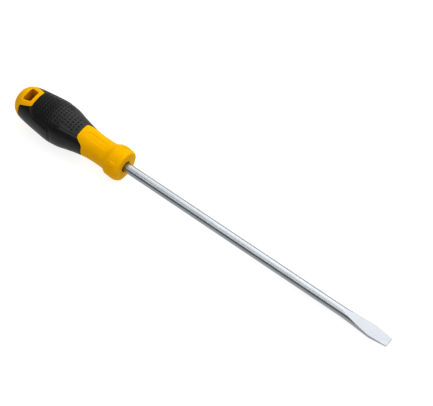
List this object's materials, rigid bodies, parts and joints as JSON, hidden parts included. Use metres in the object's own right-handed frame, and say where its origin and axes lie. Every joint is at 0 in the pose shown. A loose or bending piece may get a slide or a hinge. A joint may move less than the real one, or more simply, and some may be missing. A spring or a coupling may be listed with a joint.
{
  "type": "slotted screwdriver",
  "caption": "Long slotted screwdriver with a round steel blade, flared flat tip and a two-colour moulded handle with a dimpled soft grip and a hang hole.",
  "frame": {"origin": "middle of the blade's flat end face", "axes": "+X along the tool and out of the tip, +Z out of the top dimpled face of the handle, along the hang hole"},
  "size_m": [0.3592, 0.0346, 0.0346],
  "materials": {
    "blade_steel": "satin chrome plate",
    "core_plastic": "as moulded, hidden",
    "handle_plastic": "satin moulded",
    "grip_rubber": "fine matte moulded"
  },
  "bodies": {
    "root": {"blade": "blade_steel", "inner_core": "core_plastic", "handle_body": "handle_plastic", "soft_grip": "grip_rubber"}
  },
  "joints": []
}
